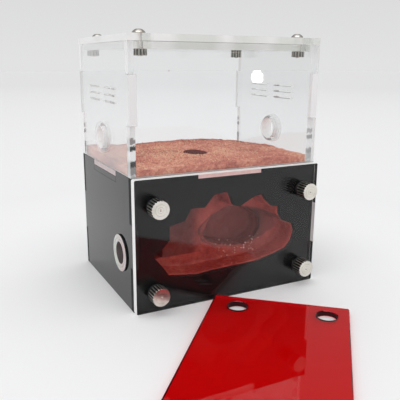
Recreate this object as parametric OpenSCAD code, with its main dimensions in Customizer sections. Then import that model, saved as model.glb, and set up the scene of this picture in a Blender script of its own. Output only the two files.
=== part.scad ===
// Ant habitat: a carved plaster nest in a black panel box behind a clear bolted cover,
// a clear foraging arena with a lift-off lid on top, and a loose red filter plate in front.
// Millimetres. Origin at the centre of the box's underside, +X right, +Y back, +Z up.

/* [Nest box] */
// Width of the box
box_w = 110; // [106:1:150]
// Depth of the box, from the mask's face to the back
box_d = 84; // [78:1:130]
// Height of the box
nest_h = 70; // [69:1:90]
// Thickness of the black panels
panel_t = 3; // [2:0.5:3.5]
// Length of the tabs of the arena floor and the nest ceiling
tab_len = 38; // [20:1:44]
// Play round each tab and finger
joint_play = 0.05; // [0.02:0.01:0.2]

/* [Front cover and thumb nuts] */
// Thickness of the clear cover
cover_t = 4; // [3:0.5:6]
// Corner radius of the cover and the filter plate
plate_corner_r = 1; // [0.5:0.5:3]
// Distance of the studs from the left and right edges
stud_inset = 10.5; // [9:0.5:12]
// Height of the lower studs
stud_low = 11; // [8:0.5:11]
// Distance of the upper studs from the top edge
stud_drop = 14; // [12:0.5:15]
// Diameter of the studs
stud_d = 4; // [3:0.5:5]
// Diameter of a stud's head, behind the mask
stud_head_d = 8; // [7:0.5:9]
// Thickness of a stud's head
stud_head_t = 1.8; // [1:0.1:3]
// Length of thread that a nut holds
thread_len = 5.2; // [4:0.1:5.4]
// Radial play of a stud in the mask and the washer
stud_play = 0.1; // [0.05:0.05:0.2]
// Radial play of a stud in the cover
cover_play = 0.2; // [0.1:0.05:0.4]
// Radial play of a stud in its nut's thread
thread_play = 0.05; // [0.03:0.01:0.1]
// Diameter of a thumb nut
nut_d = 9.5; // [9:0.5:11]
// Length of a thumb nut's knurled head
nut_head_len = 6.2; // [5.5:0.1:8]
// Diameter of a thumb nut's neck
nut_neck_d = 7.4; // [7:0.2:8.4]
// Length of a thumb nut's neck
nut_neck_len = 1; // [0.5:0.1:2]
// Number of ridges in a thumb nut's knurl
nut_ridges = 20; // [16:1:36]
// Depth of the knurl
knurl_depth = 0.3; // [0.1:0.05:0.5]
// Length of the tapered ends of a nut
nut_chamfer = 0.2; // [0.2:0.1:0.6]
// Thickness of the washer under a nut
washer_t = 0.8; // [0.5:0.1:1.5]
// Diameter of the washer
washer_d = 8.6; // [8:0.2:9]

/* [Carved nest] */
// Width of the window in the mask
window_w = 88; // [70:1:90]
// Height of the window
window_h = 44.5; // [30:0.5:46]
// Height of the window's lowest point
window_low = 14; // [10:0.5:15]
// Rounding of the window's corners
window_round = 1.2; // [0.5:0.1:2]
// Width of the step between window and chamber
chamber_step = 0.6; // [0.2:0.1:2]
// Depth of the chamber
chamber_depth = 12; // [6:1:18]
// Depth of the pit in the chamber's floor
pit_depth = 25; // [20:1:32]
// Diameter of the entrance hole and the shaft below it
shaft_d = 13; // [8:0.5:16]
// Height of the tunnel between shaft and pit
tunnel_z = 37; // [34:0.5:40]
// Diameter of the tunnel
tunnel_d = 8; // [6:0.5:9]
// Shift of the tunnel to the left of the shaft's axis
tunnel_side = 2; // [0:0.5:2.5]

/* [Ports] */
// Bore of the three tube ports
port_d = 12; // [8:0.5:13]
// Wall of a port bushing's sleeve
sleeve_wall = 1.5; // [1:0.25:1.5]
// Length of a sleeve past the wall it goes through
sleeve_out = 1; // [0.5:0.1:2]
// Radial play of a sleeve in its wall
sleeve_play = 0.05; // [0.03:0.01:0.2]
// Diameter of the passage from the nest's port to the chamber
passage_d = 11; // [6:0.5:11.5]
// Flange diameter of the nest's port
nest_flange_d = 20; // [18:0.5:24]
// Flange thickness of the nest's port
nest_flange_t = 1; // [0.8:0.1:3]
// Distance of the nest's port from the mask's face
nest_port_in = 17.5; // [15:0.5:24]
// Height of the nest's port
nest_port_z = 27; // [24:0.5:32]
// Flange diameter of the arena's ports
arena_flange_d = 17; // [17:0.5:22]
// Flange thickness of the arena's ports
arena_flange_t = 2; // [1:0.1:3]
// Height of the arena's ports above its floor
arena_port_up = 15; // [13:0.5:20]

/* [Arena] */
// Thickness of the arena's floor plate
floor_t = 3; // [2:0.5:4]
// Thickness of the arena's walls
wall_t = 4; // [3:0.5:5]
// Height of the arena's walls
wall_h = 64; // [62:1:90]
// Height of the corner fingers above the floor
finger_up = 25; // [20:1:28]
// Length of the corner fingers
finger_len = 24; // [15:1:28]
// Depth of the sand at the front
sand_front = 3.6; // [2:0.1:5]
// Depth of the sand at the back
sand_back = 5; // [2:0.1:6]
// Diameter of the bare spot round the entrance
sand_hole_d = 14; // [14:0.5:24]
// Number of vent slots above each other
vent_rows = 3; // [1:1:4]
// Height of the lowest vent slots above the floor
vent_up = 34.5; // [32:0.5:38]
// Distance between two slots
vent_pitch = 3.5; // [2:0.5:5]
// Length of a vent slot
vent_len = 17; // [8:0.5:20]
// Height of a vent slot
vent_gap = 0.8; // [0.4:0.1:1.2]
// Distance between the two columns of slots
vent_apart = 8; // [4:1:12]

/* [Lid] */
// Thickness of the lid plate
lid_t = 3.5; // [2:0.5:5]
// Thickness of the locating plate under it
seat_t = 3.5; // [2:0.5:5]
// Play of the locating plate between the walls
seat_play = 0.3; // [0.2:0.1:0.8]
// Distance of the screws from the lid's edges
screw_inset = 9; // [9:0.5:14]
// Diameter of the screws
screw_d = 3; // [2:0.5:3.5]
// Diameter of a screw's head
screw_head_d = 6.8; // [6:0.2:8]
// Height of a screw's head
screw_head_h = 2.4; // [1:0.1:3]
// Radial play of a screw in the plates
screw_play = 0.15; // [0.1:0.05:0.3]
// Diameter of a lid nut
lid_nut_d = 6.8; // [6:0.2:7]
// Height of a lid nut
lid_nut_h = 3; // [2:0.1:4]
// Length of a screw past its nut
screw_end = 0.3; // [0.2:0.1:1.5]
// Number of ridges round a lid nut
lid_nut_ridges = 12; // [10:1:20]

/* [Red filter plate] */
// Thickness of the filter plate
filter_t = 3; // [2:0.5:4]
// Radial play of the filter's holes over the thumb nuts
filter_play = 0.5; // [0.3:0.1:1]
// Gap between the filter's near corner and the cover
filter_gap = 0.5; // [0.3:0.1:10]
// Place of that corner along the cover
filter_x = -10; // [-30:1:10]
// Angle of the filter on the floor
filter_turn = -40.7; // [-60:0.1:-20]

/* [Hidden] */
$fn = 64;
past = 1;                                   // how far a cut runs past a face

inner_w = box_w - 2 * panel_t;              // between the side panels
inner_d = box_d - 2 * panel_t;              // between mask and back panel
front_y = -box_d / 2;                       // the mask's face
nest_y = front_y + panel_t;                 // the plaster's face
finger_z = nest_h / 3;                      // the box's corner fingers are a third of its height
floor_z = nest_h - floor_t;
ceiling_z = floor_z - panel_t;
rim_z = nest_h + wall_h;                    // top of the arena's walls
arena_w = box_w - 2 * wall_t;               // between the arena's side walls
arena_d = box_d - 2 * wall_t;
stud_x = box_w / 2 - stud_inset;
stud_top = nest_h - stud_drop;
screw_x = box_w / 2 - screw_inset;
screw_y = box_d / 2 - screw_inset;
sleeve_d = port_d + 2 * sleeve_wall;
nest_port_y = front_y + nest_port_in;
arena_port_z = nest_h + arena_port_up;
washer_y = front_y - cover_t - washer_t;    // where a nut's neck starts

black = [0.09, 0.09, 0.10];
clear = [0.86, 0.90, 0.90, 0.25];
frosted = [0.93, 0.88, 0.87, 0.85];
nickel = [0.78, 0.76, 0.72];
plaster = [0.45, 0.30, 0.27];
sand = [0.78, 0.53, 0.45];
red = [0.85, 0.03, 0.08, 0.7];

// The carved outlines, as points in hundredths of the window's width and height.
window_points = [[-40, 67], [-30, 71], [-26, 85], [-17, 84], [-11, 98], [-3, 100], [0, 96], [3, 82],
                 [7, 80], [18, 91], [24, 92], [26, 84], [31, 75], [37, 74], [37, 63], [40, 54],
                 [48, 47], [50, 37], [48, 24], [44, 15], [36, 10], [24, 4.5], [11, 3], [-10, 2],
                 [-21, 0], [-40, 5.5], [-43, 15], [-50, 33], [-45, 40], [-40, 50]];
pit_points = [[-10, 42], [-7, 53], [-4, 62], [2, 68], [9, 72], [17, 71], [26, 64], [33, 52],
              [34, 38], [30, 25], [21, 18], [11, 19], [1, 24], [-7, 31]];

// ---- shared shapes ----

// A block centred on X and Y that starts at height z.
module block(w, d, h, z = 0) {
    translate([-w / 2, -d / 2, z]) cube([w, d, h]);
}

// A plate from the origin to [w, h, t] with round corners.
module round_plate(w, h, t, r) {
    translate([r, 0, 0]) cube([w - 2 * r, h, t]);
    translate([0, r, 0]) cube([w, h - 2 * r, t]);
    for (x = [r, w - r], y = [r, h - r])
        translate([x, y, 0]) cylinder(r = r, h = t);
}

// A carved outline in the XZ plane, extruded from the plane y backwards.
module carved(points, y, depth, shrink = 0) {
    translate([0, y + depth, window_low])
        rotate([90, 0, 0])
            linear_extrude(depth)
                offset(r = window_round, $fn = 16)
                    offset(delta = -window_round - shrink)
                        polygon([for (p = points) [p[0] * window_w / 100, p[1] * window_h / 100]]);
}

// Every stud's place, on the plane y, looking out of the front.
module at_studs(y) {
    for (x = [-stud_x, stud_x], z = [stud_low, stud_top])
        translate([x, y, z]) rotate([90, 0, 0]) children();
}

module at_screws() {
    for (x = [-screw_x, screw_x], y = [-screw_y, screw_y])
        translate([x, y, 0]) children();
}

// A straight-knurled disc: a ring of ridges between two plain tapered ends.
module knurled(d, h, ridges, chamfer) {
    end_r = 0.97 * (d / 2 - knurl_depth);
    translate([0, 0, chamfer])
        linear_extrude(h - 2 * chamfer)
            polygon([for (i = [0 : 2 * ridges - 1])
                (d / 2 - (i % 2) * knurl_depth) * [cos(i * 180 / ridges), sin(i * 180 / ridges)]]);
    cylinder(r1 = end_r - chamfer, r2 = end_r, h = chamfer);
    translate([0, 0, h - chamfer]) cylinder(r1 = end_r, r2 = end_r - chamfer, h = chamfer);
}

// A bushing along +X: its flange lies outside x = 0, its sleeve goes inwards.
module bushing(flange_d, flange_t, through) {
    rotate([0, 90, 0])
        difference() {
            union() {
                translate([0, 0, -flange_t]) cylinder(d = flange_d, h = flange_t);
                cylinder(d = sleeve_d, h = through + sleeve_out);
            }
            translate([0, 0, -flange_t - past])
                cylinder(d = port_d, h = flange_t + through + sleeve_out + 2 * past);
        }
}

// ---- nest box ----

module base_panel() {
    color(black) block(inner_w, inner_d, panel_t);
}

// The panel at x > 0; its middle finger goes through mask and back panel.
module side_panel(port) {
    difference() {
        union() {
            translate([inner_w / 2, -inner_d / 2, 0]) cube([panel_t, inner_d, nest_h]);
            translate([inner_w / 2, -box_d / 2, finger_z + joint_play])
                cube([panel_t, box_d, finger_z - 2 * joint_play]);
        }
        translate([inner_w / 2 - past, -tab_len / 2 - joint_play, ceiling_z])
            cube([panel_t + 2 * past, tab_len + 2 * joint_play, nest_h]);
        if (port)
            translate([inner_w / 2 - past, nest_port_y, nest_port_z]) rotate([0, 90, 0])
                cylinder(d = sleeve_d + 2 * sleeve_play, h = panel_t + 2 * past);
    }
}

module left_side_panel() {
    color(black) mirror([1, 0, 0]) side_panel(true);
}

module right_side_panel() {
    color(black) side_panel(false);
}

// Mask and back panel: full width above and below the side panels' fingers.
module end_panel() {
    difference() {
        translate([-box_w / 2, 0, 0]) cube([box_w, panel_t, nest_h]);
        for (side = [-1, 1])
            translate([side * (inner_w / 2 + panel_t) - panel_t, -past, finger_z])
                cube([2 * panel_t, panel_t + 2 * past, finger_z]);
        translate([-tab_len / 2 - joint_play, -past, floor_z])
            cube([tab_len + 2 * joint_play, panel_t + 2 * past, nest_h]);
    }
}

module back_panel() {
    color(black) translate([0, box_d / 2 - panel_t, 0]) end_panel();
}

module front_mask_panel() {
    color(black) difference() {
        translate([0, front_y, 0]) end_panel();
        carved(window_points, front_y - past, panel_t + 2 * past);
        at_studs(nest_y + past) cylinder(d = stud_d + 2 * stud_play, h = panel_t + 2 * past);
    }
}

module nest_ceiling_panel() {
    color(black) difference() {
        union() {
            block(inner_w, inner_d, panel_t, ceiling_z);
            block(box_w, tab_len, panel_t, ceiling_z);
        }
        translate([0, 0, ceiling_z - past]) cylinder(d = shaft_d, h = panel_t + 2 * past);
    }
}

module plaster_nest() {
    color(plaster) difference() {
        block(inner_w, inner_d, ceiling_z - panel_t, panel_t);
        carved(window_points, nest_y - past, chamber_depth + past, chamber_step);
        carved(pit_points, nest_y, pit_depth);
        // shaft from the ceiling, ending a tunnel's radius below the tunnel's axis
        translate([0, 0, tunnel_z - tunnel_d / 2]) cylinder(d = shaft_d, h = nest_h);
        translate([-tunnel_side, 0, tunnel_z]) rotate([90, 0, 0])
            cylinder(d = tunnel_d, h = -nest_y - pit_depth + past);
        // passage from the port's sleeve into the chamber
        translate([-inner_w / 2 - past, nest_port_y, nest_port_z]) rotate([0, 90, 0])
            cylinder(d = sleeve_d + 2 * sleeve_play, h = past + sleeve_out + sleeve_play);
        translate([-inner_w / 2, nest_port_y, nest_port_z]) rotate([0, 90, 0])
            cylinder(d = passage_d, h = inner_w / 2 - window_w / 2 + passage_d);
        translate([-window_w / 2 + passage_d / 2, nest_port_y, nest_port_z]) rotate([90, 0, 0])
            cylinder(d = passage_d, h = nest_port_y - nest_y);
        at_studs(nest_y + stud_head_t)
            cylinder(d = stud_head_d + 2 * stud_play, h = stud_head_t + past);
    }
}

// ---- front cover and its nuts ----

module front_cover() {
    color(clear) difference() {
        translate([-box_w / 2, front_y, 0]) rotate([90, 0, 0])
            round_plate(box_w, nest_h, cover_t, plate_corner_r);
        at_studs(front_y + past) cylinder(d = stud_d + 2 * cover_play, h = cover_t + 2 * past);
    }
}

module nest_port_bushing() {
    color(frosted) translate([-box_w / 2, nest_port_y, nest_port_z])
        bushing(nest_flange_d, nest_flange_t, panel_t);
}

module front_studs() {
    color(nickel) at_studs(nest_y + stud_head_t) {
        cylinder(d = stud_head_d, h = stud_head_t);
        cylinder(d = stud_d, h = stud_head_t + panel_t + cover_t + washer_t + thread_len);
    }
}

// A thumb nut on the stud at x, z: neck, knurled head, blind thread, turned rings.
module thumb_nut(x, z) {
    nut_len = nut_neck_len + nut_head_len;
    ring_t = nut_d / 30;
    color(nickel) translate([x, washer_y, z]) rotate([90, 0, 0])
        difference() {
            union() {
                cylinder(d = nut_neck_d, h = nut_neck_len);
                translate([0, 0, nut_neck_len]) knurled(nut_d, nut_head_len, nut_ridges, nut_chamfer);
            }
            translate([0, 0, -past])
                cylinder(d = stud_d + 2 * thread_play, h = past + thread_len + thread_play);
            for (r = [0.32, 0.62] * nut_d / 2)
                translate([0, 0, nut_len - ring_t / 2])
                    difference() {
                        cylinder(r = r + ring_t / 2, h = past);
                        translate([0, 0, -past]) cylinder(r = r - ring_t / 2, h = 3 * past);
                    }
        }
}

module nut_washer(x, z) {
    color(black) translate([x, front_y - cover_t, z]) rotate([90, 0, 0])
        difference() {
            cylinder(d = washer_d, h = washer_t);
            translate([0, 0, -past]) cylinder(d = stud_d + 2 * stud_play, h = washer_t + 2 * past);
        }
}

// ---- arena ----

module arena_floor_plate() {
    color(clear) difference() {
        union() {
            block(inner_w, inner_d, floor_t, floor_z);
            block(box_w, tab_len, floor_t, floor_z);
            block(tab_len, box_d, floor_t, floor_z);
        }
        translate([0, 0, floor_z - past]) cylinder(d = shaft_d, h = floor_t + 2 * past);
    }
}

// The wall at y > 0: full width above and below the side walls' fingers.
module end_wall() {
    difference() {
        translate([-box_w / 2, arena_d / 2, nest_h]) cube([box_w, wall_t, wall_h]);
        for (side = [-1, 1])
            translate([side * box_w / 2 - wall_t, arena_d / 2 - past, nest_h + finger_up])
                cube([2 * wall_t, wall_t + 2 * past, finger_len]);
    }
}

module arena_front_wall() {
    color(clear) mirror([0, 1, 0]) end_wall();
}

module arena_back_wall() {
    color(clear) end_wall();
}

// The wall at x > 0, with its port and its vent slots.
module side_wall() {
    difference() {
        union() {
            translate([arena_w / 2, -arena_d / 2, nest_h]) cube([wall_t, arena_d, wall_h]);
            translate([arena_w / 2, -box_d / 2, nest_h + finger_up + joint_play])
                cube([wall_t, box_d, finger_len - 2 * joint_play]);
        }
        translate([arena_w / 2 - past, 0, arena_port_z]) rotate([0, 90, 0])
            cylinder(d = sleeve_d + 2 * sleeve_play, h = wall_t + 2 * past);
        for (row = [0 : vent_rows - 1], side = [0, 1])
            translate([arena_w / 2 - past, vent_apart / 2 - side * (vent_apart + vent_len),
                       nest_h + vent_up + row * vent_pitch - vent_gap / 2])
                cube([wall_t + 2 * past, vent_len, vent_gap]);
    }
}

module arena_left_wall() {
    color(clear) mirror([1, 0, 0]) side_wall();
}

module arena_right_wall() {
    color(clear) side_wall();
}

module arena_bushing() {
    translate([-box_w / 2, 0, arena_port_z]) bushing(arena_flange_d, arena_flange_t, wall_t);
}

module arena_left_bushing() {
    color(frosted) arena_bushing();
}

module arena_right_bushing() {
    color(frosted) mirror([1, 0, 0]) arena_bushing();
}

// Sand banked up towards the back, with a bare spot round the entrance.
module sand_bed() {
    color(sand) difference() {
        translate([-arena_w / 2, 0, nest_h]) rotate([90, 0, 90])
            linear_extrude(arena_w)
                polygon([[-arena_d / 2, 0], [arena_d / 2, 0], [arena_d / 2, sand_back],
                         [-arena_d / 2, sand_front]]);
        translate([0, 0, nest_h - past]) cylinder(d = sand_hole_d, h = 2 * past + sand_back);
    }
}

// ---- lid ----

module lid_holes(z, t) {
    at_screws() translate([0, 0, z - past])
        cylinder(d = screw_d + 2 * screw_play, h = t + 2 * past);
}

module lid_plate() {
    color(clear) difference() {
        block(box_w, box_d, lid_t, rim_z);
        lid_holes(rim_z, lid_t);
    }
}

module lid_locating_plate() {
    color(clear) difference() {
        block(arena_w - 2 * seat_play, arena_d - 2 * seat_play, seat_t, rim_z - seat_t);
        lid_holes(rim_z - seat_t, seat_t);
    }
}

// Button-head screws: a dome with a hex socket, and a shank down through both plates.
module lid_screws() {
    dome_r = (screw_head_h * screw_head_h + screw_head_d * screw_head_d / 4) / (2 * screw_head_h);
    shank = lid_t + seat_t + lid_nut_h + screw_end;
    color(nickel) at_screws() translate([0, 0, rim_z + lid_t]) {
        difference() {
            intersection() {
                translate([0, 0, screw_head_h - dome_r]) sphere(r = dome_r);
                cylinder(d = screw_head_d, h = screw_head_h);
            }
            translate([0, 0, screw_head_h / 2]) cylinder(d = screw_d * 0.8, h = screw_head_h, $fn = 6);
        }
        translate([0, 0, -shank]) cylinder(d = screw_d, h = shank);
    }
}

module lid_nuts() {
    color(nickel) at_screws() translate([0, 0, rim_z - seat_t - lid_nut_h])
        difference() {
            knurled(lid_nut_d, lid_nut_h, lid_nut_ridges, nut_chamfer);
            translate([0, 0, -past])
                cylinder(d = screw_d + 2 * thread_play, h = lid_nut_h + 2 * past);
        }
}

// ---- filter ----

// The filter has the cover's outline, with holes that go over the thumb nuts. It lies on the floor,
// its top edge at its left, its near corner in front of the cover.
module red_filter_plate() {
    hole_d = nut_d + 2 * filter_play;
    color(red) translate([filter_x, front_y - cover_t - filter_gap, 0]) rotate([0, 0, filter_turn])
        translate([0, -box_w, 0])
            difference() {
                round_plate(nest_h, box_w, filter_t, plate_corner_r);
                for (x = [stud_drop, nest_h - stud_low], y = [stud_inset, box_w - stud_inset])
                    translate([x, y, -past]) cylinder(d = hole_d, h = filter_t + 2 * past);
            }
}

base_panel();
left_side_panel();
right_side_panel();
back_panel();
front_mask_panel();
nest_ceiling_panel();
plaster_nest();
front_cover();
nest_port_bushing();
front_studs();
thumb_nut(-stud_x, stud_top);  // thumb_nut_upper_left
thumb_nut(stud_x, stud_top);  // thumb_nut_upper_right
thumb_nut(-stud_x, stud_low);  // thumb_nut_lower_left
thumb_nut(stud_x, stud_low);  // thumb_nut_lower_right
nut_washer(-stud_x, stud_top);  // nut_washer_upper_left
nut_washer(stud_x, stud_top);  // nut_washer_upper_right
nut_washer(-stud_x, stud_low);  // nut_washer_lower_left
nut_washer(stud_x, stud_low);  // nut_washer_lower_right
arena_floor_plate();
arena_front_wall();
arena_back_wall();
arena_left_wall();
arena_right_wall();
arena_left_bushing();
arena_right_bushing();
sand_bed();
lid_plate();
lid_locating_plate();
lid_screws();
lid_nuts();
red_filter_plate();
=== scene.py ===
from math import cos, pi, radians, sin

import bmesh
import bpy
import numpy as np
from mathutils import Matrix, Vector


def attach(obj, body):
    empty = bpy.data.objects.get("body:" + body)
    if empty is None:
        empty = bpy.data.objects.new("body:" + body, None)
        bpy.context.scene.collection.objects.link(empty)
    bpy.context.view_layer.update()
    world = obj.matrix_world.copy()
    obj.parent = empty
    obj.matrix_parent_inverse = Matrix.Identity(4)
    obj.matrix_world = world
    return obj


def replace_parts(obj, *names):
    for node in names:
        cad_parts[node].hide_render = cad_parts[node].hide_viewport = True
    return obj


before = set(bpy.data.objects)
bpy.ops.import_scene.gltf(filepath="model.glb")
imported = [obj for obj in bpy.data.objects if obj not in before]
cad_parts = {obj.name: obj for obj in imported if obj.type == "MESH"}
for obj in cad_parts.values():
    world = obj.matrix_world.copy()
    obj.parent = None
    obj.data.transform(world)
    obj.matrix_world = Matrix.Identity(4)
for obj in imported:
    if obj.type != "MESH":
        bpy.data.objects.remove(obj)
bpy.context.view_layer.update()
mm = 0.001
corners = {
    "upper_left": (-44.5, 56.0),
    "upper_right": (44.5, 56.0),
    "lower_left": (-44.5, 11.0),
    "lower_right": (44.5, 11.0),
}  # stud places in x, z

# camera, floor and light

camera = {
    "place": (-142.285, -285.326, 125.372),
    "yaw": 0.4740,
    "pitch": -0.2502,
    "roll": 0.0073,
    "lens": 49.107,
}


def newObject(name, data):
    # an object at the origin, in the scene's collection
    obj = bpy.data.objects.new(name, data)
    bpy.context.collection.objects.link(obj)
    return obj


def makeCamera():
    # forward from yaw and pitch, right level with the floor, both turned by roll
    yaw, pitch, roll = camera["yaw"], camera["pitch"], camera["roll"]
    forward = Vector((sin(yaw) * cos(pitch), cos(yaw) * cos(pitch), sin(pitch)))
    right = Vector((cos(yaw), -sin(yaw), 0))
    up = right.cross(forward)
    turned = cos(roll) * right + sin(roll) * up
    raised = -sin(roll) * right + cos(roll) * up
    data = bpy.data.cameras.new("photoCamera")
    data.lens, data.sensor_width, data.clip_start = camera["lens"], 36, 0.01
    obj = newObject("photoCamera", data)
    spin = Matrix((turned, raised, -forward)).transposed().to_4x4()
    obj.matrix_world = Matrix.Translation(Vector(camera["place"]) * mm) @ spin
    bpy.context.scene.camera = obj


def setSockets(node, **inputs):
    # a socket given as an input is linked, anything else is its value; _2 is input number 2
    for key, value in inputs.items():
        socket = node.inputs[int(key[1:])] if key[0] == "_" else node.inputs[key.replace("_", " ")]
        if isinstance(value, bpy.types.NodeSocket):
            node.id_data.links.new(value, socket)
        else:
            socket.default_value = value
    return node


def addNode(tree, kind, settings=None, **inputs):
    # settings are the node's own fields, inputs its sockets
    node = tree.nodes.new("ShaderNode" + kind)
    for key, value in (settings or {}).items():
        setattr(node, key, value)
    return setSockets(node, **inputs)


def worked(kind, settings=None, **inputs):
    # a new node in the tree that its inputs come from
    tree = next(v.id_data for v in inputs.values() if isinstance(v, bpy.types.NodeSocket))
    return addNode(tree, kind, settings, **inputs)


def maths(operation, a, b=0.0, c=0.5):
    # one number worked out from up to three
    return worked("Math", {"operation": operation}, _0=a, _1=b, _2=c).outputs[0]


def spread(value, low, high, toLow=0.0, toHigh=1.0):
    # low to high becomes toLow to toHigh, held at both ends
    return worked("MapRange", _0=value, _1=low, _2=high, _3=toLow, _4=toHigh).outputs[0]


def ramp(value, stops):
    # colour between the stops, which are places from 0 to 1 with their colours
    node = worked("ValToRGB", Fac=value)
    while len(node.color_ramp.elements) < len(stops):
        node.color_ramp.elements.new(0.5)
    for element, (at, colour) in zip(node.color_ramp.elements, stops):
        element.position, element.color = at, (*colour, 1)
    return node.outputs[0]


def mixed(share, first, second, blend="MIX"):
    # colour = first * (1 - share) + second * share
    settings = {"data_type": "RGBA", "blend_type": blend}
    return worked("Mix", settings, _0=share, _6=first, _7=second).outputs[2]


def scaled(colour, share):
    # colour * share
    return worked("VectorMath", {"operation": "SCALE"}, _0=colour, Scale=share).outputs[0]


def distance(place):
    # how far a place is from the origin
    return worked("VectorMath", {"operation": "LENGTH"}, _0=place).outputs["Value"]


def weighed(first, second, share):
    # number = first * share + second * (1 - share)
    return maths("ADD", maths("MULTIPLY", first, share), maths("MULTIPLY", second, 1 - share))


def eyeRays(tree, *more):
    # 1 on rays from the eye, straight or through glass, and on the kinds named
    rays = addNode(tree, "LightPath").outputs
    share = rays["Is Camera Ray"]
    for kind in ("Is Transmission Ray", *more):
        share = maths("MAXIMUM", share, rays[kind])
    return share


def grey(level):
    # the studio's faintly cool grey
    return (level, level, level * 1.005)


finish = {}


def newMaterial(name):
    # the node tree and main shader of a material, which finish keeps under its name
    mat = finish[name] = bpy.data.materials.new(name)
    mat.use_nodes = True
    return mat.node_tree, mat.node_tree.nodes["Principled BSDF"]


studio = {
    "skyLight": 0.86,  # on diffuse rays
    "skySeen": [(0.0, 0.76), (0.12, 0.71), (0.5, 0.66)],  # height of a ray and tone
    "skyMirrored": [(0.0, 0.86), (0.2, 0.62), (0.42, 0.3), (0.8, 0.35), (0.95, 1.0)],
    "sun": 0.55,
    "sunAngle": 60,
    "sunFrom": (-0.35, -0.45, 1.0),
    "pane": 0.03,
    "paneSize": (0.037, 0.044),
    "panePlace": (-0.730, 1.226, 0.076),
    "floorSide": 6.0,
    "floorNear": (0.3, 0.885),  # distance in metres and tone
    "floorFar": (2.5, 0.775),
    # painted pool of light over the object's own shadow
    "floorSeen": 1.055,  # how much paler the floor under the object is to the eye
    "floorFade": (0.15, 0.24),
}


def makeWorld():
    # even light for matt surfaces; the eye and mirrors see a tone that follows the height
    world = bpy.data.worlds.new("paleStudio")
    world.use_nodes = True
    tree = world.node_tree
    tree.nodes.clear()
    place = addNode(tree, "TexCoord").outputs["Generated"]
    height = addNode(tree, "SeparateXYZ", Vector=place).outputs["Z"]
    seen, mirrored = (
        ramp(height, [(at, grey(tone)) for at, tone in studio[sky]])
        for sky in ("skySeen", "skyMirrored")
    )
    glossy = addNode(tree, "LightPath").outputs["Is Glossy Ray"]
    lit = mixed(glossy, (*grey(studio["skyLight"]), 1), mirrored)
    background = addNode(tree, "Background", Color=mixed(eyeRays(tree), lit, seen))
    addNode(tree, "OutputWorld", Surface=background.outputs[0])
    bpy.context.scene.world = world


def makeLamps():
    # a wide soft sun, and a far bright pane whose mirror image stands in the arena's
    # right wall
    sun = bpy.data.lights.new("softSun", "SUN")
    sun.energy, sun.angle = studio["sun"], radians(studio["sunAngle"])
    lamp = newObject("softSun", sun)
    lamp.rotation_euler = Vector(studio["sunFrom"]).to_track_quat("Z", "Y").to_euler()
    pane = bpy.data.lights.new("windowPane", "AREA")
    pane.shape, pane.size, pane.size_y = "ELLIPSE", *studio["paneSize"]
    pane.energy = studio["pane"]
    glow = newObject("windowPane", pane)
    place = Vector(studio["panePlace"])
    glow.matrix_world = Matrix.Translation(place) @ place.to_track_quat("Z", "Y").to_matrix().to_4x4()
    glow.visible_camera = False


def makeFloor():
    # a pale sheet just under the object, whose tone falls with the distance, a painted fall-off of the
    # light
    side = studio["floorSide"]
    mesh = bpy.data.meshes.new("floor")
    around = [(-side, -side), (side, -side), (side, side), (-side, side)]
    mesh.from_pydata([(x, y, -0.1 * mm) for x, y in around], [], [(0, 1, 2, 3)])
    floor = newObject("floor", mesh)
    tree, shader = newMaterial("paleSheet")
    away = distance(addNode(tree, "TexCoord").outputs["Object"])
    (near, nearTone), (far, farTone) = studio["floorNear"], studio["floorFar"]
    tone = ramp(spread(away, near, far), [(0.0, grey(nearTone)), (1.0, grey(farTone))])
    # painted pool of light: the eye and mirrors see the floor paler near the object
    under = spread(away, *studio["floorFade"], studio["floorSeen"] - 1, 0.0)
    gain = maths("MULTIPLY_ADD", eyeRays(tree, "Is Glossy Ray"), under, 1.0)
    setSockets(shader, Base_Color=scaled(tone, gain), Roughness=0.7, Specular_IOR_Level=0.1)
    mesh.materials.append(finish["paleSheet"])


makeCamera()
makeWorld()
makeLamps()
makeFloor()
bpy.context.scene.view_settings.view_transform = "Standard"
print("camera, floor and light are in place")

# shared node groups


def newGroup(name, results):
    # a group that takes a place and a size, and puts out the numbers named
    tree = bpy.data.node_groups.new(name, "ShaderNodeTree")
    tree.interface.new_socket("Vector", in_out="INPUT", socket_type="NodeSocketVector")
    for label, way in [("Size", "INPUT")] + [(result, "OUTPUT") for result in results]:
        tree.interface.new_socket(label, in_out=way, socket_type="NodeSocketFloat")
    given = tree.nodes.new("NodeGroupInput").outputs
    return tree, given["Vector"], given["Size"], tree.nodes.new("NodeGroupOutput")


def noise(place, size, detail, rough=0.5):
    # cloudy noise, 0 to 1
    return worked("TexNoise", Vector=place, Scale=size, Detail=detail, Roughness=rough).outputs[0]


def makeSmudges():
    # soft hand marks and a few hair scratches, both 0 to 1
    tree, place, size, result = newGroup("handMarks", ("Smudge", "Scratch"))
    cloud = noise(place, size, 5.0, 0.62)
    stretched = worked("Mapping", Vector=place, Rotation=(0.3, 0.5, 0.4), Scale=(1, 22, 9))
    lines = noise(stretched.outputs[0], size, 2.0)
    setSockets(result, Smudge=spread(cloud, 0.46, 0.72), Scratch=spread(lines, 0.70, 0.78))
    return tree


def makeGrain():
    # two sizes of noise: Tone varies broadly, Grain finely, Height is both for bump
    tree, place, size, result = newGroup("mineralGrain", ("Tone", "Grain", "Height"))
    broad = noise(place, maths("MULTIPLY", size, 0.12), 3.0)
    fine = noise(place, size, 4.0, 0.7)
    tone, grain = spread(broad, 0.3, 0.7), spread(fine, 0.32, 0.68)
    setSockets(result, Tone=tone, Grain=grain, Height=weighed(broad, fine, 0.5))
    return tree


handMarks = makeSmudges()
mineralGrain = makeGrain()


def patterned(name, group, size):
    # a new material with a shared group's results for the piece's own place
    tree, shader = newMaterial(name)
    place = addNode(tree, "TexCoord").outputs["Object"]
    return tree, shader, addNode(tree, "Group", {"node_tree": group}, Vector=place, Size=size).outputs


def objectPlace(tree):
    # x, y and z of the piece's own place, in metres
    place = addNode(tree, "TexCoord").outputs["Object"]
    return addNode(tree, "SeparateXYZ", Vector=place).outputs


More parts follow.
